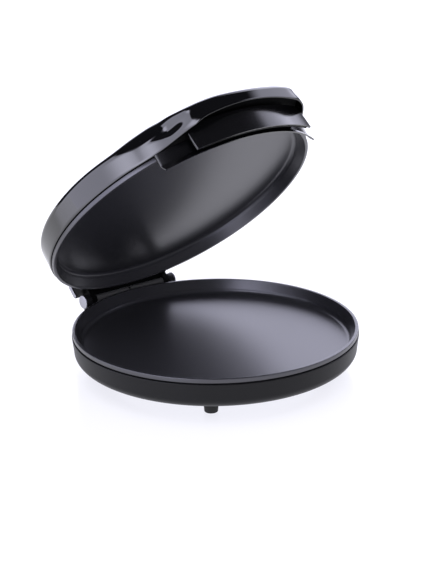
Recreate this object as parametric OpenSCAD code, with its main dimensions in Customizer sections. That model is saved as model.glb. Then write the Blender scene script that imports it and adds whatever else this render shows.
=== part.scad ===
// Countertop cooker with two round baking plates in a hinged lid and base.
// Lengths are in millimetres. Z = 0 is the worktop, +Z is up, the handle is at -Y.
// The lid is drawn shut and then swung open about the hinge axis.
// Heights named "rise" or "_h" in the lid are measured up from its plate's rim.

/* [Baking plates] */
// Outer diameter of both plates
plate_d = 320; // [300:1:330]
// Width of the flat rim
plate_rim_w = 3.8; // [3:0.1:5]
// Height of the band outside the rim
plate_band_h = 4.9; // [4:0.1:6]
// Depth of the baking surface below the rim
plate_depth = 16; // [14:0.5:18]
// Thickness of the cast metal
plate_t = 3; // [2.4:0.1:3.6]
// How far the side wall leans in
plate_lean = 4.2; // [3:0.1:6]
// Radius between side wall and floor
plate_fillet = 5; // [3:0.5:6]
// Height of the screw bosses under the plate
plate_boss_h = 5; // [4:0.5:6]

/* [Base] */
// Height of the rubber feet
foot_h = 14; // [10:0.5:20]
// Radius of the feet at the top
foot_r = 8.4; // [7:0.1:10]
// Distance of the feet inside the plates' edge
foot_inset = 35; // [33:0.5:38]
// Angle of the feet from the Y axis
foot_angle = 42; // [38:1:50]
// Height of the base housing
housing_h = 30.5; // [29:0.5:36]
// Wall thickness of the mouldings
shell_t = 2.6; // [2:0.1:3]
// Shadow gap between each plate and its housing
shadow_gap = 1.4; // [1:0.1:2]
// Thickness of the bottom plate
bottom_t = 1.6; // [1.2:0.1:2]

/* [Lid] */
// Gap between the two plates when the lid is shut
plate_gap = 3.2; // [2.5:0.1:5]
// Height of the top of the cover above its plate's rim
cover_h = 43.2; // [41:0.1:48]
// Height of the upright wall at the sides
side_wall_h = 26.6; // [25:0.1:30]
// Height of the upright wall at the front
front_wall_h = 14.7; // [13:0.1:18]
// How far the visor stands out in front of the round cover
visor_overhang = 26.5; // [23:0.5:30]
// Radius of the visor's front edge in plan
visor_arc_r = 291; // [250:1:400]
// Angle from the front at which the visor starts to run into the side
visor_flat_angle = 18; // [14:0.5:20]
// Angle from the front at which the visor ends
visor_end_angle = 34; // [32:0.5:40]
// Rise of the arch in the visor's lower edge
visor_arch_h = 8.2; // [6:0.1:9]
// Half angle of that arch
visor_arch_angle = 23; // [20:0.5:26]
// Squareness of the cover in section
crown_side = 5.6; // [4:0.1:7]
// Squareness of the cover's shoulder
crown_top = 2.8; // [2:0.1:3.5]
// Angle that the lid stands open
shown_angle = 45.5; // [30:0.5:60]

/* [Handle] */
// Half angle of the guard
guard_angle = 38.5; // [36:0.5:40]
// Drop of the guard below the plate's rim
guard_drop = 15.8; // [12:0.1:16]
// How far the guard leans out at its lower edge
guard_lean = 2.2; // [1:0.1:4]
// Half angle of the handle shell
handle_angle = 25.5; // [24:0.5:27]
// Drop of the handle's lip below the plate's rim
handle_drop = 16; // [12:0.1:18]
// How far the handle's lip flares out
handle_flare = 12.2; // [9:0.1:14]
// Thickness of guard and handle
handle_t = 2.3; // [2:0.1:2.6]

/* [Hinge] */
// Distance of the hinge axis behind the plates' edge
hinge_back = 5.5; // [5.5:0.1:8]
// Height of the hinge axis below the lower plate's rim
hinge_drop = 2.8; // [2:0.1:4]
// Radius of the lugs on the base
lug_r = 7.5; // [6.5:0.1:7.5]
// Width across both lugs
hinge_w = 130.6; // [120:0.1:140]
// Width of one lug
lug_w = 7.8; // [6:0.1:10]
// Width of one knuckle of the lid
knuckle_w = 6.7; // [5:0.1:8]
// Radius of the hinge pins
pin_r = 2.5; // [2:0.1:3]
// Outer radius of the barrel
barrel_r = 4.8; // [4.2:0.1:4.8]
// Gap between the two halves of the barrel
barrel_gap = 3.6; // [3.4:0.1:5]

/* [Inside] */
// Distance of the heating ring inside the plates' edge
element_inset = 62; // [58:1:70]
// Radius of the heating tube
tube_r = 3.2; // [2.8:0.1:3.4]
// Distance from the heating ring out to the edge of the reflector
reflector_margin = 14.5; // [13:0.5:16]
// Shank radius of the screws
screw_r = 1.9; // [1.6:0.1:2]

/* [Hidden] */

$fn = 96;
fine = 240;
small = 32;

// Clearances
running = 0.05;
seat = 0.3;

// Radii shared by both halves
plate_r = plate_d / 2;
housing_r = plate_r + 0.8;
housing_low_r = plate_r - 1;
cover_r = plate_r + 1.5;
visor_reach = cover_r + visor_overhang;
wall_in_r = plate_r - plate_rim_w;
wall_foot_r = wall_in_r - plate_lean;
plate_wall_t = 2.6;

// Heights in the base
housing_top = foot_h + housing_h;
rim_z = housing_top + shadow_gap + plate_band_h;
floor_under_z = rim_z - plate_depth - plate_t;
boss_under_z = floor_under_z - plate_boss_h;
corner_w = 22;
corner_h = 13.5;
corner_x = housing_low_r - corner_w;
ledge_t = 1.8;
ledge_w = 6;
floor_z = foot_h + bottom_t + ledge_t;
foot_ring_r = plate_r - foot_inset;

// Rings inside both halves, from the heating ring outwards
element_r = plate_r - element_inset;
reflector_r = element_r + reflector_margin;
frame_in_r = reflector_r + 1.5;
post_r = 6;
post_ring_r = frame_in_r + post_r + 2.5;
opening_r = reflector_r - 0.5;
rebate_r = opening_r + ledge_w;

// Heights in the lid, from its plate's rim
lid_z = rim_z + plate_gap;
cover_rise = plate_band_h + 0.7;
upper_floor_h = plate_depth + plate_t;
upper_boss_h = upper_floor_h + plate_boss_h;
flange_t = 2.4;
frame_top_h = upper_boss_h + flange_t;
frame_low_h = plate_band_h + 2.6;
frame_r = cover_r - shell_t - seat;
frame_t = 2;

// Hinge
hinge_y = plate_r + hinge_back;
hinge_z = rim_z - hinge_drop;
axis_h = hinge_z - lid_z;
lug_in_x = hinge_w / 2 - lug_w;
knuckle_x = lug_in_x - seat;
barrel_end_x = knuckle_x - knuckle_w;
knuckle_r = lug_r - 0.3;
pin_seat = 5.8;
barrel_bore_r = barrel_r - 1.5;
bracket_back = 15;
bracket_low = 12.5;
bracket_top = 31;
bracket_round = 3;
bracket_wall = 2.6;
web_t = 6;

// Middle of the open cooker from front to back
rear_y = hinge_y + (bracket_back - bracket_round) * cos(shown_angle)
  + (bracket_top - bracket_round) * sin(shown_angle) + bracket_round;
middle_y = (rear_y - housing_r) / 2;

// Screws and small parts
head_r = 3.6;
head_h = 2.4;
plate_screw_grip = plate_boss_h;
bracket_screw_grip = 6.3;
handle_screw_grip = 2.7;
post_angles = [20, 160, 200, 340];
clamp_angles = [90, 210, 330];
clamp_h = 2 * tube_r + 1.2;
element_gap = 30;
sheet_t = 0.8;
handle_screw_angles = [-20, -8, 8, 20];
bracket_screw_angles = [-13, -8, 8, 13];
side_screw_h = upper_boss_h - 4.5;
lead_r = 1.2;
lead_x = barrel_end_x - 4;
lead_room = 4.7;
lead_joint_x = lead_x - 6.5;
lead_h = 20.8;
lamp_x = 9;
lamp_y = plate_r - 20;
lens_r = 3.4;
lamp_holder_h = 7;
thermostat_r = 11;
block_size = [32, 12, 9];
block_y = (opening_r + corner_x) / 2;
grommet_angle = 76;
grommet_z = 33;
grommet_r = 4.6;
head_seat_z = foot_h + 5;
foot_positions = [for (a = [-foot_angle, foot_angle]) for (side = [90, 270]) side + a];
hinge_hole_z = hinge_z - 12.4;

module placed()
  translate([0, -middle_y, 0])
    children();

module on_lid()
  placed()
    translate([0, hinge_y, hinge_z])
      rotate([-shown_angle, 0, 0])
        translate([0, -hinge_y, -axis_h])
          children();

module at_axis()
  translate([0, hinge_y, axis_h])
    children();

module turned(r, angle, z = 0)
  rotate([0, 0, angle])
    translate([r, 0, z])
      children();

// Turns a part so that its +Z points outwards, at an angle from +X
module radial(angle, r, z)
  turned(r, angle, z)
    rotate([0, 90, 0])
      children();

// A ring section swept through an angle on both sides of the front
module front_arc(half_angle)
  rotate([0, 0, -90 - half_angle])
    rotate_extrude(angle = 2 * half_angle, $fn = fine)
      children();

module along_x(x, length)
  translate([x, 0, 0])
    rotate([90, 0, 90])
      linear_extrude(length)
        children();

module mirrored_x() {
  children();
  mirror([1, 0, 0])
    children();
}

function arc(x, y, rx, ry, from, to, steps) = [
  for (i = [0:steps])
    let (a = from + (to - from) * i / steps)
      [x + rx * cos(a), y + ry * sin(a)]
];

// Baking plate, floor down, with its rim at z = 0
module plate_section() {
  edge_r = 0.7;
  fillet_y = plate_fillet - plate_depth;
  fillet_x = wall_foot_r - plate_fillet;
  under = -plate_depth - plate_t;
  band_in_r = wall_in_r - plate_lean * plate_band_h / -fillet_y + plate_wall_t;
  polygon(concat(
    [[0, -plate_depth]],
    arc(fillet_x, fillet_y, plate_fillet, plate_fillet, -90, 0, 8),
    arc(wall_in_r + edge_r, -edge_r, edge_r, edge_r, 180, 90, 3),
    arc(plate_r - edge_r, -edge_r, edge_r, edge_r, 90, 0, 4),
    arc(plate_r - 0.4, 0.4 - plate_band_h, 0.4, 0.4, 0, -90, 2),
    [[band_in_r, -plate_band_h]],
    arc(fillet_x, fillet_y, plate_fillet + plate_wall_t, fillet_y - under, 0, -90, 8),
    [[0, under]]
  ));
}

module baking_plate() {
  boss_z = -plate_depth - plate_t - plate_boss_h;
  difference() {
    union() {
      rotate_extrude($fn = fine)
        plate_section();
      for (a = post_angles)
        turned(post_ring_r, a, boss_z)
          cylinder(h = plate_boss_h + 1, r = post_r, $fn = small);
    }
    for (a = post_angles)
      turned(post_ring_r, a, boss_z - 1)
        cylinder(h = plate_boss_h + 2, r = screw_r + running, $fn = small);
  }
}

// Heating ring lying on z = 0, its two ends at the back
module heating_element() {
  end_x = element_r * sin(element_gap / 2);
  end_y = element_r * cos(element_gap / 2);
  rotate([0, 0, 90 + element_gap / 2])
    rotate_extrude(angle = 360 - element_gap, $fn = fine)
      translate([element_r, tube_r])
        circle(r = tube_r, $fn = small);
  for (side = [-1, 1])
    translate([side * end_x, end_y - 2, tube_r])
      rotate([-90, 0, 0]) {
        cylinder(h = 11, r = tube_r - 0.2, $fn = small);
        cylinder(h = 16, r = lead_r, $fn = small);
      }
}

module element_clamps() {
  difference() {
    for (a = clamp_angles)
      turned(element_r, a)
        translate([-8, -5, 0])
          cube([16, 10, clamp_h]);
    rotate_extrude($fn = fine)
      translate([element_r, tube_r])
        circle(r = tube_r + running, $fn = small);
    rotate_extrude($fn = fine)
      translate([element_r - tube_r - running, -1])
        square([2 * (tube_r + running), tube_r + 1]);
  }
}

// Dished sheet with its flat on z = 0 and its edge turned up
module reflector() {
  edge_h = 3.6;
  edge_w = 4;
  rotate_extrude($fn = fine)
    polygon([
      [0, 0],
      [reflector_r - edge_w, 0],
      [reflector_r, edge_h],
      [reflector_r - sheet_t, edge_h],
      [reflector_r - edge_w - 0.4, sheet_t],
      [0, sheet_t]
    ]);
}

// Screw with its head above z = 0 and its shank below
module screw(length) {
  cylinder(h = head_h, r = head_r, $fn = small);
  translate([0, 0, -length])
    cylinder(h = length + 1, r = screw_r, $fn = small);
}

// Hole for such a screw
module screw_hole(length)
  translate([0, 0, -length])
    cylinder(h = length + 1, r = screw_r + running, $fn = small);

// Fuse lying just under z = 0
module thermal_fuse() {
  fuse_r = 2.1;
  translate([-7, 58, -fuse_r - 0.1])
    rotate([0, 90, 0]) {
      cylinder(h = 14, r = fuse_r, $fn = small);
      translate([0, 0, -6])
        cylinder(h = 26, r = 0.5, $fn = small);
    }
}

// Round lead swept along a list of points
function unit(v) = v / norm(v);
function heading(p, i) = unit(p[min(i + 1, len(p) - 1)] - p[max(i - 1, 0)]);
function sideways(p, i) = unit(cross(heading(p, i), [0.11, 0.13, 1]));

module lead(p, r) {
  sides = 10;
  last = (len(p) - 1) * sides;
  rings = [
    for (i = [0:len(p) - 1])
      let (u = sideways(p, i), v = cross(heading(p, i), u))
        for (k = [0:sides - 1])
          p[i] + r * cos(360 * k / sides) * u + r * sin(360 * k / sides) * v
  ];
  polyhedron(
    points = rings,
    faces = concat(
      [[for (k = [sides - 1:-1:0]) k]],
      [[for (k = [0:sides - 1]) last + k]],
      [
        for (i = [0:len(p) - 2], k = [0:sides - 1])
          let (a = i * sides + k, b = i * sides + (k + 1) % sides)
            [a, b, b + sides, a + sides]
      ]
    )
  );
}

// Base

module housing_section() {
  corner_y = foot_h + corner_h;
  polygon(concat(
    [[opening_r, floor_z], [opening_r, foot_h + bottom_t]],
    [[rebate_r, foot_h + bottom_t], [rebate_r, foot_h]],
    arc(corner_x, corner_y, corner_w, corner_h, -90, 0, 14),
    arc(housing_r - 0.6, housing_top - 0.6, 0.6, 0.6, 0, 90, 3),
    [[housing_r - shell_t, housing_top]],
    arc(corner_x, corner_y, corner_w - shell_t, corner_y - floor_z, 0, -90, 14)
  ));
}

module lug_section() {
  top = rim_z - hinge_drop - housing_top + 0.2;
  union() {
    circle(r = lug_r, $fn = 64);
    polygon([
      [-lug_r, 0], [-lug_r, -top], [-26, -top], [-26, -19],
      [-4, -14.5], [lug_r * 0.8, -lug_r * 0.6], [0, 0]
    ]);
  }
}

module base_housing()
  color("#1b1b1d")
    placed()
      difference() {
        union() {
          rotate_extrude($fn = fine)
            housing_section();
          for (a = post_angles)
            turned(post_ring_r, a, floor_z - 1)
              cylinder(h = boss_under_z - floor_z + 1, r = post_r, $fn = small);
          difference() {
            translate([0, hinge_y, hinge_z])
              mirrored_x()
                along_x(lug_in_x, lug_w)
                  lug_section();
            cylinder(h = 2 * rim_z, r = housing_r - shell_t + 0.4, $fn = fine);
          }
        }
        translate([0, hinge_y, hinge_z])
          mirrored_x()
            along_x(lug_in_x - 1, pin_seat + 1)
              circle(r = pin_r + running, $fn = small);
        for (a = post_angles)
          turned(post_ring_r, a, head_seat_z) {
            cylinder(h = boss_under_z, r = screw_r + running, $fn = small);
            mirror([0, 0, 1])
              cylinder(h = 6, r = head_r + 0.4, $fn = small);
          }
        for (a = foot_positions)
          turned(foot_ring_r, a, foot_h - 1)
            cylinder(h = 6, r = screw_r + running, $fn = small);
        radial(grommet_angle, housing_r - 10, grommet_z)
          cylinder(h = 20, r = grommet_r + running, $fn = small);
        radial(90, housing_r - 10, hinge_hole_z)
          cylinder(h = 20, r = 2.6, $fn = small);
      }

module bottom_plate()
  color("#a9abac")
    placed()
      difference() {
        translate([0, 0, foot_h])
          cylinder(h = bottom_t, r = rebate_r - seat, $fn = fine);
        for (x = [-48:12:48])
          translate([x - 2, -20, foot_h - 1])
            cube([4, 40, bottom_t + 2]);
      }

module lower_baking_plate()
  color("#242427")
    placed()
      translate([0, 0, rim_z])
        baking_plate();

module lower_heating_element()
  color("#8b8d8f")
    placed()
      translate([0, 0, floor_under_z])
        mirror([0, 0, 1])
          heating_element();

module lower_element_clamps()
  color("#b4b5b6")
    placed()
      translate([0, 0, floor_under_z])
        mirror([0, 0, 1])
          element_clamps();

module lower_reflector()
  color("#c3c4c5")
    placed()
      translate([0, 0, floor_under_z - clamp_h - sheet_t])
        difference() {
          reflector();
          translate([0, 0, -1])
            cylinder(h = sheet_t + 2, r = thermostat_r + 1.5);
        }

module lower_plate_screws()
  color("#9a9b9c")
    placed()
      for (a = post_angles)
        turned(post_ring_r, a, head_seat_z)
          mirror([0, 0, 1])
            screw(boss_under_z + plate_screw_grip - head_seat_z);

module thermostat()
  color("#d9d6cc")
    placed() {
      translate([0, 0, floor_under_z - 6])
        cylinder(h = 6, r = thermostat_r);
      translate([0, 0, floor_under_z - 10])
        cylinder(h = 4, r = thermostat_r - 3);
      for (x = [-4, 4])
        translate([x - 0.4, -3, floor_under_z - 14.5])
          cube([0.8, 6, 5]);
    }

module lower_thermal_fuse()
  color("#e4e1d8")
    placed()
      translate([0, 0, floor_under_z - clamp_h - sheet_t])
        thermal_fuse();

module terminal_block()
  color("#e8e6df")
    placed()
      difference() {
        translate([-block_size[0] / 2, block_y - block_size[1] / 2, floor_z])
          cube(block_size);
        for (x = [-10, 0, 10]) {
          translate([x, block_y, floor_z + block_size[2] - 2])
            cylinder(h = 3, r = 2.2, $fn = small);
          translate([x, block_y - block_size[1], floor_z + block_size[2] / 2])
            rotate([-90, 0, 0])
              cylinder(h = 2 * block_size[1], r = lead_r + seat, $fn = small);
        }
      }

function by_grommet(r, z) = [r * cos(grommet_angle), r * sin(grommet_angle), z];

module cord_grommet()
  color("#161617")
    placed()
      radial(grommet_angle, housing_r, grommet_z)
        difference() {
          union() {
            translate([0, 0, -4.6])
              cylinder(h = 6, r = grommet_r);
            translate([0, 0, 0.2])
              cylinder(h = 2, r = grommet_r + 2.2);
            translate([0, 0, 2])
              cylinder(h = 3, r1 = grommet_r + 1, r2 = grommet_r);
          }
          translate([0, 0, -6])
            cylinder(h = 14, r = 2.8, $fn = small);
        }

module base_wiring()
  color("#d8d2c4")
    placed() {
      block_h = floor_z + 4.5;
      block_front = block_y - block_size[1] / 2;
      block_back = block_y + block_size[1] / 2;
      end_y = element_r * cos(element_gap / 2) + 14.1;
      end_x = element_r * sin(element_gap / 2);
      end_z = floor_under_z - tube_r;
      mirrored_x()
        lead([
          [10, block_front + 3, block_h], [10, block_front - 1.5, block_h],
          [13, block_front - 4.4, block_h + 0.6], [20, block_front - 5, block_h + 3],
          [end_x - 0.5, block_front - 5, end_z - 0.6], [end_x, block_front - 6.4, end_z],
          [end_x, end_y, end_z]
        ], lead_r);
      lead([
        [10, block_back - 3, block_h], [10, block_back + 1, block_h],
        [13, block_back + 3, block_h],
        by_grommet(housing_r - 24, block_h + 0.3), by_grommet(housing_r - 18, block_h + 1.4),
        by_grommet(housing_r - 12, grommet_z - 8), by_grommet(housing_r - 7.4, grommet_z - 3),
        by_grommet(housing_r - 6.2, grommet_z - 0.8), by_grommet(housing_r - 5.6, grommet_z - 0.2)
      ], lead_r);
    }

// Lead to the lid: it turns into the hollow barrel along the hinge axis
module base_hinge_lead()
  color("#19191a")
    placed()
      translate([0, hinge_y, 0])
        lead([
          [0, 3 + block_y - hinge_y, floor_z + 4.5], [0, 9 + block_y - hinge_y, floor_z + 4.5],
          [0, -24, floor_z + 4.9], [0, -17.4, floor_z + 7.6], [0, -12.6, hinge_hole_z - 3.4],
          [0, -8.6, hinge_hole_z - 0.9], [0, -3.6, hinge_hole_z + 1.2],
          [0, -0.8, hinge_z - 8.6], [0, -0.1, hinge_z - 6], [0, 0, hinge_z - 4.2],
          [0.4, 0, hinge_z - 2.3], [1.5, 0, hinge_z - 0.9], [3.2, 0, hinge_z - 0.2],
          [5.4, 0, hinge_z], [lead_joint_x, 0, hinge_z]
        ], lead_r);

module hinge_pins()
  color("#b9babb")
    placed()
      translate([0, hinge_y, hinge_z])
        mirrored_x()
          along_x(barrel_end_x + seat, lug_in_x + pin_seat - barrel_end_x - 2 * seat)
            circle(r = pin_r, $fn = small);

module foot(angle)
  color("#101011")
    placed()
      turned(foot_ring_r, angle)
        difference() {
          cylinder(h = foot_h, r1 = foot_r - 1.2, r2 = foot_r);
          translate([0, 0, -1])
            cylinder(h = foot_h + 2, r = screw_r + running, $fn = small);
          translate([0, 0, -1])
            cylinder(h = 6, r = head_r + 0.4, $fn = small);
        }

module foot_front_left() foot(270 - foot_angle);

module foot_front_right() foot(270 + foot_angle);

module foot_rear_left() foot(90 + foot_angle);

module foot_rear_right() foot(90 - foot_angle);

module foot_screws()
  color("#9a9b9c")
    placed()
      for (a = foot_positions)
        turned(foot_ring_r, a, 5)
          mirror([0, 0, 1])
            screw(foot_h + ledge_t - 4);

// Lid

// Plan of the cover: round at the sides and back, a wider arc at the visor
function smooth(t) = let (s = min(1, max(0, t))) s * s * (3 - 2 * s);
function visor_share(a) =
  smooth((visor_end_angle - abs(a)) / (visor_end_angle - visor_flat_angle));
function visor_r(a) =
  let (c = visor_arc_r - visor_reach)
    sqrt(visor_arc_r * visor_arc_r - pow(c * sin(a), 2)) - c * cos(a);
function plan_r(a) = cover_r + visor_share(a) * (visor_r(a) - cover_r);
function shoulder_h(a) = side_wall_h + visor_share(a) * (front_wall_h - side_wall_h);
function edge_h(a) = min(
  shoulder_h(a) - 0.5,
  cover_rise + visor_arch_h * max(0, 1 - pow(a / visor_arch_angle, 2))
);
function crown_h(a, s, inset) =
  shoulder_h(a) + (cover_h - inset - shoulder_h(a)) * pow(1 - pow(s, crown_side), 1 / crown_top);
function on_cover(a, s, inset) =
  let (r = (plan_r(a) - inset) * s)
    [r * sin(a), -r * cos(a), crown_h(a, s, inset)];
function on_edge(a, inset) =
  let (r = plan_r(a) - inset)
    [r * sin(a), -r * cos(a), edge_h(a)];

module cover_shell() {
  columns = 104;
  rows = 13;
  // Columns lie closer together around the visor
  angles = [
    for (j = [0:columns - 1])
      let (u = 2 * j / columns - 1)
        180 * (0.42 * u + 0.58 * u * u * u)
  ];
  steps = [for (i = [0:rows - 1]) sqrt(cos(90 * i / rows))];
  sheet = columns * (rows + 1);
  points = [
    for (inset = [0, shell_t])
      for (i = [0:rows])
        for (a = angles)
          i == 0 ? on_edge(a, inset) : on_cover(a, steps[i - 1], inset)
  ];
  tops = [[0, 0, cover_h], [0, 0, cover_h - shell_t]];
  quads = [
    for (i = [0:rows - 1], j = [0:columns - 1])
      let (k = (j + 1) % columns, a = i * columns, b = a + columns)
        [a + j, a + k, b + k, b + j]
  ];
  last = rows * columns;
  polyhedron(
    points = concat(points, tops),
    faces = concat(
      [for (q = quads) [q[2], q[1], q[0]]],
      [for (q = quads) [q[3], q[2], q[0]]],
      [for (q = quads) [q[0] + sheet, q[1] + sheet, q[2] + sheet]],
      [for (q = quads) [q[0] + sheet, q[2] + sheet, q[3] + sheet]],
      [
        for (j = [0:columns - 1])
          let (k = (j + 1) % columns)
            [2 * sheet, last + k, last + j]
      ],
      [
        for (j = [0:columns - 1])
          let (k = (j + 1) % columns)
            [2 * sheet + 1, sheet + last + j, sheet + last + k]
      ],
      [for (j = [0:columns - 1]) [j, (j + 1) % columns, sheet + j]],
      [
        for (j = [0:columns - 1])
          let (k = (j + 1) % columns)
            [k, sheet + k, sheet + j]
      ]
    )
  );
}

module lead_tunnel(length, r)
  translate([lead_x, hinge_y - length, lead_h])
    rotate([-90, 0, 0])
      cylinder(h = length, r = r, $fn = small);

module lid_cover()
  color("#141415")
    on_lid()
      difference() {
        cover_shell();
        for (a = bracket_screw_angles)
          radial(90 + a, frame_r - 4, side_screw_h)
            cylinder(h = 12, r = screw_r + running, $fn = small);
        lead_tunnel(24, 2);
        for (x = [-lamp_x, lamp_x])
          translate([x, -lamp_y, cover_h - 12])
            cylinder(h = 20, r = lens_r + running, $fn = small);
      }

module lid_frame()
  color("#2b2b2e")
    on_lid()
      difference() {
        rotate_extrude($fn = fine)
          polygon([
            [frame_in_r, upper_boss_h], [frame_r - frame_t, upper_boss_h],
            [frame_r - frame_t, frame_low_h], [frame_r, frame_low_h],
            [frame_r, frame_top_h - 0.4], [frame_r - 0.4, frame_top_h],
            [frame_in_r, frame_top_h]
          ]);
        for (a = post_angles)
          turned(post_ring_r, a, frame_top_h)
            screw_hole(6);
        for (a = bracket_screw_angles)
          radial(90 + a, frame_r, side_screw_h)
            screw_hole(6);
        for (a = handle_screw_angles)
          radial(270 + a, frame_r, side_screw_h)
            screw_hole(6);
        lead_tunnel(24, 2);
        translate([lead_x - 0.4, hinge_y - 29, upper_boss_h - 1])
          cylinder(h = 6, r = 3, $fn = small);
      }

module upper_baking_plate()
  color("#242427")
    on_lid()
      mirror([0, 0, 1])
        baking_plate();

module upper_heating_element()
  color("#8b8d8f")
    on_lid()
      translate([0, 0, upper_floor_h])
        heating_element();

module upper_element_clamps()
  color("#b4b5b6")
    on_lid()
      translate([0, 0, upper_floor_h])
        element_clamps();

module upper_reflector()
  color("#c3c4c5")
    on_lid()
      translate([0, 0, upper_floor_h + clamp_h + sheet_t])
        mirror([0, 0, 1])
          reflector();

module upper_plate_screws()
  color("#9a9b9c")
    on_lid()
      for (a = post_angles)
        turned(post_ring_r, a, frame_top_h)
          screw(flange_t + plate_screw_grip);

module upper_thermal_fuse()
  color("#e4e1d8")
    on_lid()
      translate([0, 0, upper_floor_h + clamp_h + sheet_t])
        mirror([0, 0, 1])
          thermal_fuse();

module bracket_section() {
  front = -24;
  c = bracket_round;
  polygon(concat(
    [[front, bracket_low]],
    arc(bracket_back - c, bracket_low + c, c, c, -90, 0, 5),
    arc(bracket_back - c, bracket_top - c, c, c, 0, 90, 5),
    [[front, bracket_top]]
  ));
}

module hinge_bracket()
  color("#18181a")
    on_lid()
      difference() {
        at_axis() {
          along_x(seat - hinge_w / 2, hinge_w - 2 * seat)
            bracket_section();
          mirrored_x()
            along_x(barrel_end_x, knuckle_w) {
              circle(r = knuckle_r, $fn = 64);
              translate([-knuckle_r, 0])
                square([2 * knuckle_r, bracket_low + 1]);
            }
          along_x(-barrel_end_x, 2 * barrel_end_x)
            translate([-web_t / 2, 0])
              square([web_t, bracket_low + 1]);
        }
        translate([0, 0, -1])
          cylinder(h = 2 * cover_h, r = cover_r + seat, $fn = fine);
        at_axis()
          along_x(-barrel_end_x, 2 * barrel_end_x)
            circle(r = barrel_r, $fn = 64);
        at_axis()
          mirrored_x()
            along_x(barrel_end_x - 1, knuckle_w + 2)
              circle(r = pin_r + running, $fn = small);
        // Pockets, open towards the cover, between the ribs that the screws run into
        at_axis()
          for (pocket = [[-60, 18], [-33, 6], [-18, 36], [27, 6], [lead_x - lead_room, 18]])
            translate([pocket[0], -30, bracket_low + bracket_wall])
              cube([
                pocket[1],
                30 + bracket_back - bracket_wall,
                bracket_top - bracket_low - 2 * bracket_wall
              ]);
        for (a = bracket_screw_angles)
          radial(90 + a, frame_r, side_screw_h)
            cylinder(
              h = shell_t + 2 * seat + bracket_screw_grip + 0.5,
              r = screw_r + running, $fn = small
            );
        at_axis()
          translate([lead_x, 0, 0])
            cylinder(h = bracket_low + bracket_wall + 1, r = lead_r + 0.5, $fn = small);
      }

module bracket_screws()
  color("#9a9b9c")
    on_lid()
      for (a = bracket_screw_angles)
        radial(90 + a, frame_r - frame_t - 0.06, side_screw_h)
          mirror([0, 0, 1])
            screw(frame_t + shell_t + 2 * seat + bracket_screw_grip);

module hinge_barrel(flip)
  color("#1d1d1f")
    on_lid()
      at_axis()
        mirror([flip, 0, 0])
          difference() {
            along_x(barrel_gap / 2, barrel_end_x - barrel_gap / 2)
              difference() {
                circle(r = barrel_r, $fn = 64);
                circle(r = barrel_bore_r, $fn = 64);
              }
            if (flip == 0)
              translate([lead_x, 0, 0])
                cylinder(h = 2 * barrel_r, r = lead_r + 0.5, $fn = small);
          }

module hinge_barrel_left() hinge_barrel(1);

module hinge_barrel_right() hinge_barrel(0);

module lid_hinge_lead()
  color("#19191a")
    on_lid() {
      // Points are given from the hinge axis
      top = lead_h - axis_h;
      at_axis()
        lead([
          [lead_joint_x + running, 0, 0], [lead_x - 3.6, 0, 0], [lead_x - 1.4, 0, 0.5],
          [lead_x - 0.2, 0, 1.9], [lead_x, 0, 4], [lead_x, 0, 14], [lead_x, -0.6, top - 5],
          [lead_x, -2.6, top - 1.6], [lead_x, -6, top], [lead_x, -24, top],
          [lead_x - 0.2, -26.6, top + 1], [lead_x - 0.4, -28.6, top + 4],
          [lead_x - 0.6, -29.6, top + 8], [lead_x - 2, -32, top + 10.4],
          [lead_x - 6, -38, top + 11], [30, -60, top + 10.6], [23, -96, top + 9.6],
          [16, hinge_y * -1 + 62, top + 8.4], [12.4, hinge_y * -1 + 58.6, top + 8.2]
        ], lead_r);
    }

// Handle

module guard_section() {
  top_r = cover_r + 0.7;
  polygon([
    [top_r, plate_band_h + seat],
    [top_r + 2, plate_band_h + seat],
    [top_r + handle_t, 7 - guard_drop],
    [top_r + handle_t + guard_lean + 1.4, -guard_drop],
    [top_r + guard_lean + 1.5, -guard_drop],
    [top_r + 0.3, 7 - guard_drop]
  ]);
}

// The flange that the screws hold, stepped inwards over the plate's band
module guard_flange_section() {
  in_r = frame_r + seat;
  step_r = cover_r + 2.4;
  low = plate_band_h + seat + 0.2;
  polygon([
    [in_r, low],
    [step_r - 1.4, low],
    [step_r - 1.4, low - 1.4],
    [step_r, low - 1.4],
    [step_r, low + 1],
    [in_r + handle_t, frame_low_h],
    [in_r + handle_t, upper_boss_h - 0.8],
    [in_r, upper_boss_h - 0.8]
  ]);
}

module front_guard()
  color("#1a1a1c")
    on_lid()
      difference() {
        union() {
          front_arc(guard_angle)
            guard_section();
          front_arc(handle_angle + 1.5)
            guard_flange_section();
        }
        for (a = handle_screw_angles)
          radial(270 + a, frame_r, side_screw_h)
            cylinder(h = 12, r = screw_r + running, $fn = small);
      }

// Outside of the handle: nearly upright at the top, flared at the lip
function handle_t_at(h) = max(0, (upper_boss_h - 10 - h) / (upper_boss_h - 10 + handle_drop));
function handle_out_r(h) =
  cover_r + 4.2 + 1.4 * (upper_boss_h - h) / 24 + (handle_flare - 2) * pow(handle_t_at(h), 2.2);
function handle_slope(h) = (handle_out_r(h) - handle_out_r(h + 0.1)) / 0.1;
function handle_in_r(h) = handle_out_r(h) - handle_t * sqrt(1 + pow(handle_slope(h), 2));

module handle_section() {
  top = upper_boss_h - 0.5;
  steps = 16;
  heights = [for (i = [0:steps]) top + (-handle_drop - top) * i / steps];
  polygon(concat(
    [for (h = heights) [handle_out_r(h), h]],
    [for (i = [steps:-1:0]) [handle_in_r(heights[i]), heights[i]]]
  ));
}

module handle_shell()
  color("#1a1a1c")
    on_lid()
      difference() {
        union() {
          front_arc(handle_angle)
            handle_section();
          front_arc(handle_angle) {
            seat_r = frame_r + handle_t + 2 * seat;
            translate([seat_r, frame_low_h + 2])
              square([cover_r + 4 - seat_r, upper_boss_h - frame_low_h - 2.5]);
          }
        }
        for (a = handle_screw_angles)
          radial(270 + a, frame_r, side_screw_h)
            cylinder(h = 6, r = screw_r + running, $fn = small);
      }

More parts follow.
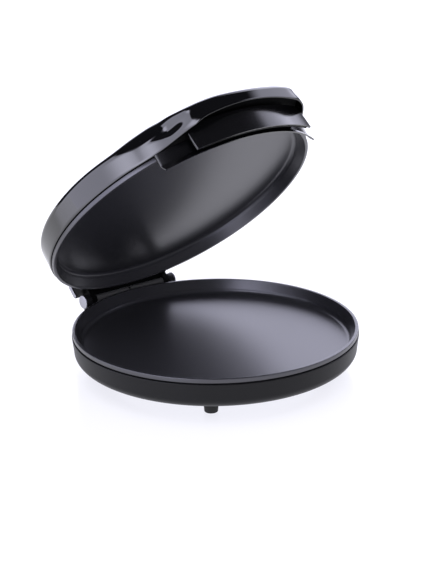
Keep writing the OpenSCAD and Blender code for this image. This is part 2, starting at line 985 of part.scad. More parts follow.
module handle_screws()
  color("#9a9b9c")
    on_lid()
      for (a = handle_screw_angles)
        radial(270 + a, frame_r - frame_t - 0.06, side_screw_h)
          mirror([0, 0, 1])
            screw(frame_t + handle_t + 2 * seat + handle_screw_grip);

// Closes the hollow of the visor above the handle
module recess_ceiling()
  color("#1a1a1c")
    on_lid() {
      low = cover_rise + visor_arch_h + 1.4;
      inset = shell_t + seat;
      translate([0, 0, low])
        linear_extrude(2)
          difference() {
            polygon([
              for (i = [-40:40])
                let (a = i * visor_end_angle / 40)
                  (plan_r(a) - inset) * [sin(a), -cos(a)]
            ]);
            circle(r = handle_out_r(low) + seat, $fn = fine);
          }
    }

module lamp_holder()
  color("#2b2b2e")
    on_lid()
      difference() {
        translate([-lamp_x - 8, -lamp_y - 6, frame_top_h])
          cube([2 * lamp_x + 16, 12, lamp_holder_h]);
        for (x = [-lamp_x, lamp_x])
          translate([x, -lamp_y, frame_top_h + 2])
            cylinder(h = lamp_holder_h, r = lens_r - 0.8, $fn = small);
      }

module lamp_lens(x)
  on_lid()
    translate([x, -lamp_y, frame_top_h + lamp_holder_h]) {
      top = crown_h(0, lamp_y / plan_r(0), 0) + 0.3;
      cylinder(h = top - frame_top_h - lamp_holder_h, r = lens_r);
    }

module power_lens()
  color("#b3261e")
    lamp_lens(-lamp_x);

module ready_lens()
  color("#2f9e52")
    lamp_lens(lamp_x);

base_housing();
bottom_plate();
lower_baking_plate();
lower_heating_element();
lower_element_clamps();
lower_reflector();
lower_plate_screws();
thermostat();
lower_thermal_fuse();
terminal_block();
cord_grommet();
base_wiring();
base_hinge_lead();
hinge_pins();
foot_front_left();
foot_front_right();
foot_rear_left();
foot_rear_right();
foot_screws();
lid_cover();
lid_frame();
upper_baking_plate();
upper_heating_element();
upper_element_clamps();
upper_reflector();
upper_plate_screws();
upper_thermal_fuse();
lid_hinge_lead();
hinge_bracket();
bracket_screws();
hinge_barrel_left();
hinge_barrel_right();
front_guard();
handle_shell();
recess_ceiling();
handle_screws();
lamp_holder();
power_lens();
ready_lens();
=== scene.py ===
import math

import bpy
import numpy as np
from mathutils import Matrix


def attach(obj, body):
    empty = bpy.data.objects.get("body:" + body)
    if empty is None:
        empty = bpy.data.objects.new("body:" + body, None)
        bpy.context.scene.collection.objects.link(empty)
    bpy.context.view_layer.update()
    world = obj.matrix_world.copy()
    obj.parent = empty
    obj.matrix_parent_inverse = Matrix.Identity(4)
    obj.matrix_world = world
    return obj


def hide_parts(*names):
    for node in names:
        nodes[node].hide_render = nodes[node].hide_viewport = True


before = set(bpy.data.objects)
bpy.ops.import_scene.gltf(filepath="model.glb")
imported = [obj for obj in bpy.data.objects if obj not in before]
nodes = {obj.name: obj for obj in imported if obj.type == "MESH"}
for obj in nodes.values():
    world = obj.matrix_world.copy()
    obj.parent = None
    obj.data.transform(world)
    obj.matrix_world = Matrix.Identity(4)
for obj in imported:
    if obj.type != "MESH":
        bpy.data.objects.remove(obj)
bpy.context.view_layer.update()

# The camera stands left of the handle and a little above the worktop, as a
# product photographer would place it for an open cooker, on a long lens.
MM = 0.001
BACKSET = 18.041  # mm from the middle of the base back to the frame's origin
AZIMUTH, CLIMB, ROLL = map(math.radians, (-39.41, 18.90, -0.81))
DISTANCE = 1.4443
AIM = np.array([0.0, -BACKSET * MM, 0.050])
SHIFT_RIGHT, SHIFT_UP = -0.0015, 0.0413
PICTURE_H, SENSOR_H = 571, 36.0
PIXELS_PER_MM = 0.89


def stand(x, y, z, spot):
    """Matrix of an object at spot with its axes along x, y and z."""
    turn = np.eye(4)
    turn[:3, 0], turn[:3, 1], turn[:3, 2], turn[:3, 3] = x, y, z, spot
    return Matrix(turn.tolist())


right = np.array([math.cos(AZIMUTH), math.sin(AZIMUTH), 0.0])
back = np.array([
    math.sin(AZIMUTH) * math.cos(CLIMB),
    -math.cos(AZIMUTH) * math.cos(CLIMB),
    math.sin(CLIMB),
])
up = np.cross(back, right)
rolled_right = right * math.cos(ROLL) + up * math.sin(ROLL)
rolled_up = -right * math.sin(ROLL) + up * math.cos(ROLL)
spot = AIM + SHIFT_RIGHT * rolled_right + SHIFT_UP * rolled_up + DISTANCE * back
lens = bpy.data.cameras.new("camera")
lens.sensor_fit = "VERTICAL"
lens.sensor_height = SENSOR_H
lens.lens = SENSOR_H * PIXELS_PER_MM * DISTANCE * 1000 / PICTURE_H
lens.shift_y = 1.84 / PICTURE_H
lens.clip_end = 100.0
camera = bpy.data.objects.new("camera", lens)
camera.matrix_world = stand(rolled_right, rolled_up, back, spot)
bpy.context.scene.collection.objects.link(camera)
bpy.context.scene.camera = camera
bpy.context.scene.view_settings.view_transform = "Standard"


# The studio: a glossy white floor that is lit from below as well, two broad
# soft lights, dark air overhead, and white boxes that the polished cover and
# the plates mirror.
class Number:
    """A number in a material. Arithmetic on it adds Math nodes."""

    def __init__(self, finish, socket):
        self.finish, self.socket = finish, socket

    def __add__(self, other):
        return self.finish.add("ShaderNodeMath", {"operation": "ADD"}, self, other)

    def __mul__(self, other):
        return self.finish.add("ShaderNodeMath", {"operation": "MULTIPLY"}, self, other)

    __radd__, __rmul__ = __add__, __mul__


class Finish:
    """A material. add() makes any node: its type, its settings, then the values
    of its sockets in order or by name."""

    def __init__(self, name, colour, **values):
        self.material = bpy.data.materials.new(name)
        self.material.use_nodes = True
        self.tree = self.material.node_tree
        self.shader = self.tree.nodes["Principled BSDF"]
        self.shader.inputs["Base Color"].default_value = (*colour, 1.0)
        self.material.diffuse_color = (*colour, 1.0)
        for key, value in values.items():
            self.shader.inputs[key.replace("_", " ")].default_value = value

    def add(self, kind, settings=None, *values, out=0, **named):
        node = self.tree.nodes.new(kind)
        for key, value in (settings or {}).items():
            setattr(node, key, value)
        for key, value in (*enumerate(values), *named.items()):
            self.feed(node.inputs[key], value)
        return Number(self, node.outputs[out])

    def feed(self, socket, value):
        if isinstance(value, Number):
            self.tree.links.new(value.socket, socket)
        else:
            socket.default_value = value

    def set(self, name, value):
        self.feed(self.shader.inputs[name], value)

    def noise(self, scale, detail, rough=0.5, stretch=None):
        """Noise in the piece's own coordinates, stretched along its axes where asked."""
        where = self.add("ShaderNodeTexCoord", out="Object")
        if stretch:
            where = self.add("ShaderNodeMapping", None, Vector=where, Scale=stretch)
        return self.add(
            "ShaderNodeTexNoise", None, Vector=where, Scale=scale, Detail=detail, Roughness=rough
        )

    def bump(self, height, depth, strength):
        self.set("Normal", self.add(
            "ShaderNodeBump", None, Strength=strength, Distance=depth, Height=height
        ))


def mesh_object(name, points, quads, finish, sharp=40.0):
    """One object from points (n, 3) and quads (m, 4), smooth but for edges over `sharp`
    degrees."""
    mesh = bpy.data.meshes.new(name)
    points = np.ascontiguousarray(points, np.float32)
    quads = np.ascontiguousarray(quads, np.int32)
    mesh.vertices.add(len(points))
    mesh.vertices.foreach_set("co", points.ravel())
    mesh.loops.add(quads.size)
    mesh.loops.foreach_set("vertex_index", quads.ravel())
    mesh.polygons.add(len(quads))
    mesh.polygons.foreach_set("loop_start", np.arange(0, quads.size, 4, dtype=np.int32))
    mesh.polygons.foreach_set("loop_total", np.full(len(quads), 4, np.int32))
    mesh.update(calc_edges=True)
    mesh.validate()
    mesh.shade_smooth()
    mesh.set_sharp_from_angle(angle=math.radians(sharp))
    mesh.materials.append(finish.material)
    made = bpy.data.objects.new(name, mesh)
    bpy.context.scene.collection.objects.link(made)
    return made


FLOOR_HALF = 30
floor_finish = Finish(
    "studio_floor", (0.16, 0.16, 0.16), Roughness=0.20, Specular_IOR_Level=0.22,
    Emission_Color=(0.92, 0.92, 1.0, 1.0), Emission_Strength=0.87,
)
floor = mesh_object(
    "studio_floor",
    FLOOR_HALF * np.array([[-1, -1, 0], [1, -1, 0], [1, 1, 0], [-1, 1, 0]], float),
    np.array([[0, 1, 2, 3]]),
    floor_finish,
)
floor.location.z = -0.0002


def sun(name, start, target, energy, spread):
    """A soft light from `start` towards `target`, which nothing mirrors."""
    data = bpy.data.lights.new(name, "SUN")
    data.energy, data.angle = energy, math.radians(spread)
    lamp = bpy.data.objects.new(name, data)
    z = np.array(start, float) - np.array(target, float)
    z /= np.linalg.norm(z)
    x = np.cross([0.0, 0.0, 1.0] if abs(z[2]) < 0.99 else [0.0, 1.0, 0.0], z)
    x /= np.linalg.norm(x)
    lamp.matrix_world = stand(x, np.cross(z, x), z, start)
    lamp.visible_glossy = False
    bpy.context.scene.collection.objects.link(lamp)


sun("overhead", (0, 0, 3), (0, 0.25, 0), 3.75, 80)
sun("front_fill", (-0.8, -2.4, 1.0), (0, 0, 0.1), 2.2, 60)


class Air(Finish):
    """The surroundings, built with the same helpers as a material."""

    def __init__(self, name):
        self.world = bpy.data.worlds.new(name)
        self.world.use_nodes = True
        self.tree = self.world.node_tree
        self.shader = self.tree.nodes["Background"]
        direction = self.add("ShaderNodeTexCoord", out="Generated")
        apart = self.add("ShaderNodeSeparateXYZ", None, direction).socket.node
        x, y, z = (Number(self, output) for output in apart.outputs)
        self.bearing = self.add("ShaderNodeMath", {"operation": "ARCTAN2"}, x, y)
        self.climb = self.add("ShaderNodeMath", {"operation": "ARCSINE"}, z)

    def step(self, value, low, high):
        low, high = math.radians(low), math.radians(high)
        return self.add(
            "ShaderNodeMapRange", {"interpolation_type": "SMOOTHSTEP"}, value, low, high
        )

    def white_box(self, left, right, low, high, soft_side, soft_end):
        """1 inside a span of bearings (degrees from the back, right positive) and one of
        elevations, with soft edges."""
        sides = self.step(self.bearing, left - soft_side, left + soft_side) * self.step(
            self.bearing, right + soft_side, right - soft_side
        )
        ends = self.step(self.climb, low - soft_end, low + soft_end) * self.step(
            self.climb, high + soft_end, high - soft_end
        )
        return sides * ends


# Left, right, low, high, softness of the sides and of the ends, brightness.
WHITE_BOXES = (
    (-124, -38, -12, 45, 4, 2, 2.1),
    (-124, -84, 26, 45, 10, 8, 2.2),
    (74, 125, 26, 47, 2, 3, 1.9),
    (16, 60, -12, 33, 5, 2, 2.0),
    (52, 84, 16, 50, 6, 6, 2.2),
)
DARK_AIR, BACKDROP = 0.030, 0.95
MIX_A, MIX_B, MIX_RESULT = 6, 7, 2

air = Air("studio_air")
gloss_light = sum(air.white_box(*box) * brightness for *box, brightness in WHITE_BOXES)
rays = air.add("ShaderNodeLightPath").socket.node.outputs
on_camera, on_gloss = Number(air, rays["Is Camera Ray"]), Number(air, rays["Is Glossy Ray"])
tint = air.add("ShaderNodeMix", {"data_type": "RGBA"}, on_gloss, out=MIX_RESULT)
air.feed(tint.socket.node.inputs[MIX_A], (1.0, 1.0, 1.03, 1.0))
air.feed(tint.socket.node.inputs[MIX_B], (0.93, 0.93, 1.12, 1.0))
air.set("Color", tint)
air.set("Strength", DARK_AIR + gloss_light * on_gloss + on_camera * BACKDROP)
bpy.context.scene.world = air.world


# The base housing: one injection-moulded bowl in satin black plastic, spun
# round the middle, with a wall that rolls under to a flat bottom and a plain
# upper edge just under the plate's rim.
FOOT_H, HOUSING_TOP = 14.0, 44.5
CURL_R, CURL_RX, CURL_RZ = 137.0, 22.0, 13.5
CURL_Z = FOOT_H + CURL_RZ
SIDE_T, CURL_T = 2.6, 3.4


def place(points):
    """Metres in the row's frame from millimetres measured from the middle of the base."""
    return (np.asarray(points, float) - [0.0, BACKSET, 0.0]) * MM


def sheet_quads(rows, columns, close_rows, close_columns):
    """Quads of a grid of points numbered row by row, joined up at its ends where asked."""
    i = np.arange(rows if close_rows else rows - 1)[:, None]
    j = np.arange(columns if close_columns else columns - 1)[None, :]
    a = i * columns + j
    b = i * columns + (j + 1) % columns
    c = (i + 1) % rows * columns + (j + 1) % columns
    d = (i + 1) % rows * columns + j
    return np.stack([a, b, c, d], -1).reshape(-1, 4)


def rounded(corners, steps=7):
    """Profile through corners (x, y, radius): each becomes an arc tangent to both sides."""
    xy = np.array([c[:2] for c in corners], float)
    out = []
    for i, radius in enumerate(c[2] for c in corners):
        if radius == 0 or i in (0, len(corners) - 1):
            out.append(xy[i][None])
            continue
        a = xy[i - 1] - xy[i]
        b = xy[i + 1] - xy[i]
        a, b = a / np.linalg.norm(a), b / np.linalg.norm(b)
        half = math.acos(max(-1.0, min(1.0, float(a @ b)))) / 2
        mid = (a + b) / np.linalg.norm(a + b)
        centre = xy[i] + mid * radius / math.sin(half)
        start = xy[i] + a * radius / math.tan(half) - centre
        end = xy[i] + b * radius / math.tan(half) - centre
        t = np.linspace(0, 1, steps)[:, None]
        sweep = math.acos(max(-1.0, min(1.0, float(start @ end) / radius**2)))
        arc = (start * np.sin((1 - t) * sweep) + end * np.sin(t * sweep)) / math.sin(sweep)
        out.append(centre + arc)
    return np.concatenate(out)


def ellipse(x, y, rx, ry, start, end, steps):
    """Points (x + rx cos t, y + ry sin t) for t from start to end in degrees."""
    t = np.radians(np.linspace(start, end, steps))
    return np.stack([x + rx * np.cos(t), y + ry * np.sin(t)], -1)


def at_angle(a, r, h):
    """Points (r sin a, -r cos a, h), with a in degrees from the front."""
    return np.stack([r * np.sin(np.radians(a)), -r * np.cos(np.radians(a)), h], -1)


def spun_object(name, profile, finish, steps=360, closed=False, sharp=40.0, move=place):
    """Profile (radius, height) turned about Z, so run that the faces point outwards."""
    a = np.linspace(-180.0, 180.0, steps, endpoint=False)[:, None]
    grid = at_angle(a, profile[None, :, 0], profile[None, :, 1] + 0 * a)
    quads = sheet_quads(steps, len(profile), True, closed)
    return mesh_object(name, move(grid.reshape(-1, 3)), quads, finish, sharp)


satin = Finish("satin_black_plastic", (0.0060, 0.0060, 0.0072), Specular_IOR_Level=0.22)
grain = satin.noise(2600.0, 3.0, 0.6)
drift = satin.noise(18.0, 2.0)
satin.set("Roughness", 0.33 + grain * 0.10 + drift * 0.06)
satin.bump(grain, 0.00004, 0.35)

bowl = np.concatenate([
    ellipse(CURL_R, CURL_Z, CURL_RX, CURL_RZ, -90, 0, 40),
    rounded([(159, 28, 0), (160.8, HOUSING_TOP, 0.7), (158.2, HOUSING_TOP, 0.4), (157, 38, 0)]),
    ellipse(CURL_R, CURL_Z, CURL_RX - SIDE_T, CURL_RZ - CURL_T, 0, -90, 30),
    [[112.0, 17.4], [112.0, 15.6], [118.0, 15.6], [118.0, FOOT_H + 0.4], [118.4, FOOT_H]],
])
housing = spun_object("housing_bowl", bowl, satin, closed=True, sharp=35)
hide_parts("base_housing")
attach(housing, "base")


# The hinge ears: two lugs in the same plastic, moulded in one with the back of
# the housing. Each holds one hinge pin.
HINGE = np.array([0.0, 165.5, 48.0])
LUG_R, LUG_IN, LUG_OUT = 7.5, 57.5, 65.3


def extruded(name, outline, x0, x1, finish, bevel, move=place):
    """A bar of section `outline` (y, z), counter-clockwise seen from +X, between the planes
    x0 and x1. Its end edges are quarter rounds: inset b (1 - sin t) at b (1 - cos t) along."""
    outline = np.asarray(outline, float)
    ahead, behind = np.roll(outline, -1, 0) - outline, outline - np.roll(outline, 1, 0)
    normal = np.stack([ahead[:, 1] + behind[:, 1], -ahead[:, 0] - behind[:, 0]], -1)
    normal /= np.linalg.norm(normal, axis=1, keepdims=True) + 1e-9
    t = np.linspace(0, math.pi / 2, 5)
    inset = np.concatenate([bevel * (1 - np.sin(t)), bevel * (1 - np.sin(t[::-1]))])
    along = np.concatenate([x0 + bevel * (1 - np.cos(t)), x1 - bevel * (1 - np.cos(t[::-1]))])
    rings = outline[None] - normal[None] * inset[:, None, None]
    along = np.broadcast_to(along[:, None, None], rings.shape[:2] + (1,))
    middle = outline.mean(0)
    caps = [np.broadcast_to([x, *middle], (1, len(outline), 3)) for x in (x0, x1)]
    grid = np.concatenate([caps[0], np.concatenate([along, rings], -1), caps[1]])
    quads = sheet_quads(len(grid), len(outline), False, True)[:, ::-1]
    return mesh_object(name, move(grid.reshape(-1, 3)), quads, finish, 35.0)


def hinged(yz):
    """Section points given from the hinge axis."""
    return np.asarray(yz, float) + HINGE[1:]


def both_sides(inside, outside):
    """The left and the right span in X between two distances from the middle."""
    return ("left", -outside, -inside), ("right", inside, outside)


ear = np.concatenate([
    ellipse(0, 0, LUG_R, LUG_R, -38, 180, 40),
    rounded([(-LUG_R, 0, 0), (-LUG_R, -3.6, 0.6), (-20, -3.6, 0)], 4)[1:],
    rounded([(-20, -3.6, 0), (-20, -19, 0.5), (-4, -14.5, 3.0), (5.9, -4.6, 0)], 6)[1:-1],
])
for side, x0, x1 in both_sides(LUG_IN, LUG_OUT):
    piece = extruded("hinge_ear_" + side, hinged(ear), x0, x1, satin, 0.6)
    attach(piece, "base")


# The hinge caps: round plated discs, pressed on the outer ends of the lugs
# over the hinge pins.
CAP_R, CAP_IN, CAP_OUT = 8.0, 65.2, 67.1
chrome = Finish("satin_plating", (0.40, 0.40, 0.44), Metallic=1.0)
chrome.set("Roughness", 0.34 + chrome.noise(600.0, 2.0) * 0.12)
disc = ellipse(0, 0, CAP_R, CAP_R, 0, 352, 45)
for side, x0, x1 in both_sides(CAP_IN, CAP_OUT):
    cap = extruded("hinge_cap_" + side, hinged(disc), x0, x1, chrome, 0.5)
    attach(cap, "base")


# Four rubber feet, moulded as short tapered plugs with an eased tread, each
# held up into the housing by a screw.
FOOT_AT, FOOT_DEG = 125.0, 42.0
rubber = Finish("foot_rubber", (0.008, 0.008, 0.008), Roughness=0.7)
rubber.bump(rubber.noise(1800.0, 2.0), 0.00005, 0.4)
tread = rounded([
    (4.0, 5.0, 0), (4.0, 0.0, 0.5), (7.2, 0.0, 1.0), (8.4, FOOT_H, 0.4), (1.95, FOOT_H, 0),
])
for name, angle in (
    ("foot_front_left", -FOOT_DEG), ("foot_front_right", FOOT_DEG),
    ("foot_rear_left", FOOT_DEG - 180), ("foot_rear_right", 180 - FOOT_DEG),
):
    turn = math.radians(angle)
    centre = FOOT_AT * np.array([math.sin(turn), -math.cos(turn), 0.0])
    foot = spun_object(
        name + "_tread", tread, rubber, steps=64, move=lambda p, c=centre: place(p + c)
    )
    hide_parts(name)
    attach(foot, "base")


# The baking plates: cast metal dishes, alike in base and lid, with a flat rim,
# a turned-down band outside it, and a dark non-stick coat sprayed over all.
# Screws hold them from inside.
PLATE_R, RIM_Z, BAND_H = 160.0, 50.8, 4.9
WALL_IN, WALL_FOOT, DEPTH, FILLET = 156.2, 152.0, 16.0, 5.0
CAST_T = 3.0
RIM_EASE, BAND_EASE = 0.7, 0.4
PINHOLE = 0.01
OPEN_DEG = 45.5
AXIS_DROP = 6.0  # from the shut lid plate's rim down to the hinge axis

coat = Finish(
    "non_stick_coat", (0.015, 0.015, 0.019), IOR=1.85, Specular_Tint=(0.93, 0.93, 1.0, 1.0)
)
speckle = coat.noise(1400.0, 3.0, 0.65)
cloud = coat.noise(9.0, 3.0)
coat.set("Roughness", 0.24 + speckle * 0.08 + cloud * 0.05)
coat.bump(speckle, 0.00006, 0.45)

floor_r = WALL_FOOT - FILLET
dish = np.concatenate([
    np.stack([np.linspace(PINHOLE, floor_r, 60)[:-1], np.full(59, -DEPTH)], -1),
    ellipse(floor_r, FILLET - DEPTH, FILLET, FILLET, -90, 0, 14)[:-1],
    np.linspace([WALL_FOOT, FILLET - DEPTH], [WALL_IN, -RIM_EASE], 12)[:-1],
    ellipse(WALL_IN + RIM_EASE, -RIM_EASE, RIM_EASE, RIM_EASE, 180, 90, 6),
    ellipse(PLATE_R - RIM_EASE, -RIM_EASE, RIM_EASE, RIM_EASE, 90, 0, 6),
    ellipse(PLATE_R - BAND_EASE, BAND_EASE - BAND_H, BAND_EASE, BAND_EASE, 0, -90, 4),
    [[156.9, -BAND_H]],
    ellipse(floor_r, FILLET - DEPTH, 7.6, FILLET + CAST_T, 0, -90, 14),
    [[PINHOLE, -DEPTH - CAST_T]],
])[::-1]


def opened(points):
    """The lid as it stands open, from points of the shut lid, whose heights count from its
    plate's rim: (y cos o + z sin o, z cos o - y sin o) about the hinge."""
    p = np.asarray(points, float) - [0.0, HINGE[1], -AXIS_DROP]
    c, s = math.cos(math.radians(OPEN_DEG)), math.sin(math.radians(OPEN_DEG))
    x, y, z = p[..., 0], p[..., 1], p[..., 2]
    return place(np.stack([x, y * c + z * s, z * c - y * s], -1) + HINGE)


lower_plate = spun_object(
    "lower_plate_dish", dish, coat, steps=480, sharp=50, move=lambda p: place(p + [0, 0, RIM_Z])
)
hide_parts("lower_baking_plate")
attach(lower_plate, "base")
upper_plate = spun_object(
    "upper_plate_dish", dish[::-1] * [1, -1], coat, steps=480, sharp=50, move=opened
)
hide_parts("upper_baking_plate")
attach(upper_plate, "lid")


# The lid cover: one polished black moulding, round at the sides and back and
# pulled out at the front into a visor with an arched lower edge. The visor's
# top falls evenly to a ridge, and its face drops from there.
COVER_R, COVER_TOP, COVER_T = 161.5, 43.2, 2.6
VISOR_ARC_R, VISOR_ARC_BACK = 291.0, 103.0
EDGE_H, ARCH_H, ARCH_DEG = 5.6, 8.2, 23.0
SHOULDER_H = 26.6
CREST_IN, SLOPE, CREST_SOFT = 29.2, 0.53, 3.8
DROP_H, DROP_W = 4.0, 5.3
LEDGE_TOP = 22.5
LIP_EASE = 0.55


def smooth(t):
    """3t^2 - 2t^3 between 0 and 1."""
    t = np.clip(t, 0, 1)
    return t * t * (3 - 2 * t)


def bell(a, middle, width):
    """1 at the middle angle on both sides, exp(-d^2) at d widths from it."""
    return np.exp(-(((np.abs(a) - middle) / width) ** 2))


def flared(a, start, width, power=1.0):
    """Radius in plan: the cover's own, and from the start angle on a smooth share of the
    visor's arc, whose middle lies behind the cover's."""
    rad = np.radians(a)
    half_chord = np.sqrt(VISOR_ARC_R**2 - (VISOR_ARC_BACK * np.sin(rad)) ** 2)
    arc = half_chord - VISOR_ARC_BACK * np.cos(rad)
    share = smooth(np.clip((start - np.abs(a)) / width, 0, 1) ** power)
    return COVER_R + share * (arc - COVER_R)


def skirt_r(a):
    """Outline of the lower edge."""
    return flared(a, 45.5, 27.5, 1.6)


def plan_r(a):
    """Outline of the shoulder: inside the lower edge at the visor's roots and its corners."""
    return skirt_r(a) - 6.5 * bell(a, 29.5, 4.8) - 1.5 * bell(a, 20.5, 2.2)


def edge_h(a):
    """Height of the lower edge, with an arch of 1 - (a / half angle)^2 at the visor."""
    return EDGE_H + ARCH_H * np.maximum(0, 1 - (a / ARCH_DEG) ** 2)


def round_h(a, s, top):
    """Height at share s of plan_r, at the round: from the shoulder, (1 - s^p)^(1/q) of the
    rise to the top, with p and q that sharpen into a ridge near 36.7 degrees."""
    shoulder = SHOULDER_H - 4.2 * bell(a, 42.6, 13.9)
    ridge = bell(a, 36.7, 10.0)
    rise = (1 - s ** (5.6 + 20.5 * ridge)) ** (1 / (2.8 - 1.58 * ridge))
    return shoulder + (top - shoulder) * rise


def visor_h(a, r, inset, top):
    """Height at the visor: a soft bend, w log(1 + e^((r - crest) / w)), into a slope, then
    an elliptic drop at the outline."""
    crest = flared(a, 50.0, 40.0) - CREST_IN - inset
    slope = SLOPE * CREST_SOFT * np.logaddexp(0, (r - crest) / CREST_SOFT)
    edge = np.clip(1 - (plan_r(a) - inset - r) / DROP_W, 0, 1)
    return top - slope - DROP_H * (1 - np.sqrt(1 - edge**2))


def crown_h(a, s, inset):
    """Height above the shoulder, from the round to the visor between 34.3 and 25.4 degrees."""
    top = COVER_TOP - inset
    sides = round_h(a, s, top)
    front = visor_h(a, (plan_r(a) - inset) * s, inset, top)
    return sides + smooth((34.3 - np.abs(a)) / 8.9) * (front - sides)


def cover_sheet(a, s, inset):
    """Cover surface above the shoulder, at share s of plan_r."""
    return at_angle(a, (plan_r(a) - inset) * s, crown_h(a, s, inset))


def cover_wall(a, t, inset):
    """Wall from the lower edge (t = 0) to the shoulder (t = 1), with a ledge where the two
    outlines differ."""
    h = edge_h(a) + (crown_h(a, 1.0, inset) - edge_h(a)) * t
    ledge = 10.0 + 8.0 * smooth((np.abs(a) - 30.0) / 8.0)
    share = smooth((h - ledge) / (LEDGE_TOP - ledge))
    return at_angle(a, skirt_r(a) + share * (plan_r(a) - skirt_r(a)) - inset, h)


def cover_lip(a, turn_deg):
    """Half-round lower lip, from the outside (0) round to the inside (180)."""
    t = np.radians(turn_deg)
    r = skirt_r(a) - COVER_T / 2 + COVER_T / 2 * np.cos(t)
    return at_angle(a, r, edge_h(a) + LIP_EASE - LIP_EASE * np.sin(t))


# Columns crowd at the front, and rings at the outline.
u = np.linspace(-1, 1, 900, endpoint=False)
around = (180 * (0.30 * u + 0.70 * u**3))[:, None]
crown = np.sqrt(np.cos(np.radians(90 * np.linspace(0, 1, 84) ** 1.15)))[None, :]
crown[0, -1] = 0.0005
wall = np.linspace(0, 1, 22)[None, 1:-1] * 0.86 + 0.12
shell = np.concatenate([
    cover_sheet(around, crown[:, ::-1], 0.0),
    cover_wall(around, wall[:, ::-1], 0.0),
    cover_lip(around, np.linspace(0, 180, 9)[None, :]),
    cover_wall(around, wall, COVER_T),
    cover_sheet(around, crown, COVER_T),
], axis=1)
gloss = Finish("polished_black_plastic", (0.0016, 0.0016, 0.0022), IOR=1.8)
gloss.set("Roughness", 0.030 + gloss.noise(30.0, 3.0) * 0.025)
gloss.bump(gloss.noise(55.0, 1.0), 0.0002, 0.05)
cover = mesh_object(
    "cover_shell", opened(shell.reshape(-1, 3)),
    sheet_quads(len(u), shell.shape[1], True, False)[:, ::-1], gloss, 50,
)
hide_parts("lid_cover")
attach(cover, "lid")


# The bracket's end plates: thin plated strips with round back corners, glued
# on both ends of the bracket that carries the lid behind the hinge.
END_IN, END_OUT = 64.9, 65.7
strip = rounded([(9.8, 13.2, 0.3), (14.9, 13.2, 2.6), (14.9, 30.6, 2.6), (9.8, 30.6, 0.3)], 5)
strip = strip + [HINGE[1], -AXIS_DROP]
for side, x0, x1 in both_sides(END_IN, END_OUT):
    plate = extruded("bracket_end_" + side, strip, x0, x1, chrome, 0.25, move=opened)
    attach(plate, "lid")


# The guard: a curved shell of finely textured black plastic under the visor,
# screwed to the lid's frame. It hangs past the plate's rim as a finger shield
# and leans out at its lower edge.
SHIELD_TOP, LOWER_EDGE = 5.1, -15.8


def arc_shell(name, outer, inner, half_angle, finish):
    """A shell swept round the front from (radius, height) profiles and cut square across X:
    (x, -sqrt(r^2 - x^2), h). Its edges and ends are quarter rounds."""
    bevel, columns = 0.35, 120
    section = np.concatenate([outer, inner[::-1]])
    centre = (outer + inner) / 2
    centre = np.concatenate([centre, centre[::-1]])
    t = np.linspace(0, math.pi / 2, 5)[:-1]
    shrink = np.concatenate([1 - np.sin(t), np.zeros(columns), (1 - np.sin(t))[::-1]])
    ease = np.degrees(bevel / outer[:, 0].mean())
    a = np.concatenate([
        -half_angle + ease * (1 - np.cos(t)),
        np.linspace(-half_angle + ease, half_angle - ease, columns),
        (half_angle - ease * (1 - np.cos(t)))[::-1],
    ])
    gap = np.linalg.norm(section - centre, axis=1)[:, None]
    pull = np.minimum(1, shrink[:, None, None] * bevel / np.maximum(gap, 1e-6)[None])
    pulled = section[None] + (centre - section)[None] * pull
    flat = np.concatenate([centre[None], pulled, centre[None]])
    a = np.concatenate([a[:1], a, a[-1:]])
    x = outer[0, 0] * np.sin(np.radians(a))[:, None]
    r, height = flat[..., 0], flat[..., 1]
    grid = np.stack([x + 0 * r, -np.sqrt(r**2 - x**2), height], -1)
    quads = sheet_quads(len(a), len(section), False, True)[:, ::-1]
    return mesh_object(name, opened(grid.reshape(-1, 3)), quads, finish, 40)


fine = Finish("fine_black_plastic", (0.0022, 0.0022, 0.0028), IOR=1.75)
fine.set("Roughness", 0.11 + fine.noise(900.0, 3.0, 0.7) * 0.12)
h = np.linspace(SHIELD_TOP, LOWER_EDGE, 40)
fall = (SHIELD_TOP - h) / 13.9
lean = np.clip((-8.8 - h) / 7.0, 0, 1) ** 1.3
guard_out = np.stack([164.2 - 0.4 * fall + 4.0 * lean, h], -1)
guard_in = np.stack([162.2 + 0.3 * fall + 3.2 * lean, h], -1)
guard = arc_shell("guard_skirt", guard_out, guard_in, 38.5, fine)
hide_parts("front_guard")
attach(guard, "lid")


# The handle's web: the curved inner wall of the handle, which flares out to the grip's lower
# lip.
# It carries painted shade: a darker, nearly matte copy of the black plastic, as it lies in the
# shade under the visor.
WEB_TOP, WEB_R, WEB_T = 23.4, 165.7, 2.3
# Painted shade: black plastic made darker and nearly without sheen, for parts that lie in shade.
dark = Finish(
    "painted_shade_moulding", (0.0015, 0.0015, 0.0018), Roughness=0.6, Specular_IOR_Level=0.1
)
dark.bump(dark.noise(1600.0, 2.0), 0.00005, 0.35)
h = np.linspace(WEB_TOP, LOWER_EDGE, 60)
reach = np.maximum(0, (14 - h) / 30)
web_out = np.stack([WEB_R + 1.4 * (24 - h) / 24 + 10.2 * reach**2.2, h], -1)
steepness = np.gradient(web_out[:, 0], h)
web_in = web_out - np.stack([WEB_T * np.sqrt(1 + steepness**2), 0 * h], -1)
web = arc_shell("handle_web", web_out, web_in, 25.2, dark)
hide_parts("handle_shell")
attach(web, "lid")


# The handle's face: the almost upright front wall of the grip, in the guard's
# textured plastic, clipped over the web's lower lip.
FACE_TOP, FACE_R, FACE_T = 12.0, 177.0, 2.4
h = np.linspace(FACE_TOP, LOWER_EDGE, 40)
face_out = np.stack([FACE_R + 2.2 * (14 - h) / 30, h], -1)
face = arc_shell("handle_face", face_out, face_out - [FACE_T, 0], 25.8, fine)
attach(face, "lid")
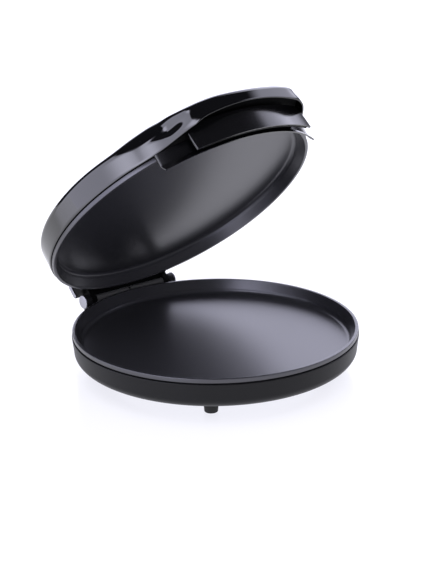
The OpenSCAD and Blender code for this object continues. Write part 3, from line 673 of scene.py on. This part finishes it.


# Every other node is shown as it was made: small turned, pressed and moulded
# parts inside or under the cooker, each in its own material, but for the hinge
# bracket and the recess ceiling, which carry painted shade, and the hinge
# barrels, which carry a painted highlight.
steel = Finish("plain_steel", (0.42, 0.42, 0.43), Metallic=1.0)
steel.set("Roughness", 0.28 + steel.noise(700.0, 3.0, 0.6, (1, 1, 8)) * 0.18)
plated = Finish("plated_sheet", (0.50, 0.51, 0.52), Metallic=1.0)
plated.set("Roughness", 0.34 + plated.noise(220.0, 4.0, 0.7) * 0.2)
sleeve = Finish("lead_sleeve", (0.012, 0.012, 0.013), Roughness=0.55)
sleeve.bump(sleeve.noise(2400.0, 1.0), 0.00005, 0.3)
ceramic = Finish("pale_ceramic", (0.62, 0.60, 0.55), Roughness=0.5)
ceramic.bump(ceramic.noise(900.0, 2.0), 0.00004, 0.3)
inner = Finish("inner_moulding", (0.014, 0.014, 0.015), Roughness=0.5)
inner.bump(inner.noise(1600.0, 2.0), 0.00005, 0.35)
# Painted highlight: the hinge barrels are the housing's black plastic made several times
# lighter, so the front light leaves grey highlights on them.
barrel = Finish("barrel_painted_highlight", (0.045, 0.045, 0.050), Roughness=0.28, IOR=1.6)
barrel.bump(barrel.noise(1600.0, 2.0), 0.00004, 0.3)
red = Finish("red_lens", (0.30, 0.010, 0.008), Roughness=0.12, Transmission_Weight=0.4)
green = Finish("green_lens", (0.01, 0.20, 0.04), Roughness=0.12, Transmission_Weight=0.4)
for finish, names in (
    (plated, ("bottom_plate", "lower_reflector", "upper_reflector")),
    (steel, (
        "lower_heating_element", "upper_heating_element", "lower_element_clamps",
        "upper_element_clamps", "lower_plate_screws", "upper_plate_screws",
        "bracket_screws", "handle_screws", "foot_screws", "hinge_pins",
    )),
    (ceramic, ("thermostat", "lower_thermal_fuse", "upper_thermal_fuse", "terminal_block")),
    (sleeve, ("base_wiring", "base_hinge_lead", "lid_hinge_lead")),
    (rubber, ("cord_grommet",)),
    (inner, ("lid_frame", "lamp_holder")),
    # Painted shade on the hinge bracket and the recess ceiling.
    (dark, ("hinge_bracket", "recess_ceiling")),
    # Painted highlight on the hinge barrels.
    (barrel, ("hinge_barrel_left", "hinge_barrel_right")),
    (red, ("power_lens",)),
    (green, ("ready_lens",)),
):
    for name in names:
        nodes[name].data.materials.clear()
        nodes[name].data.materials.append(finish.material)
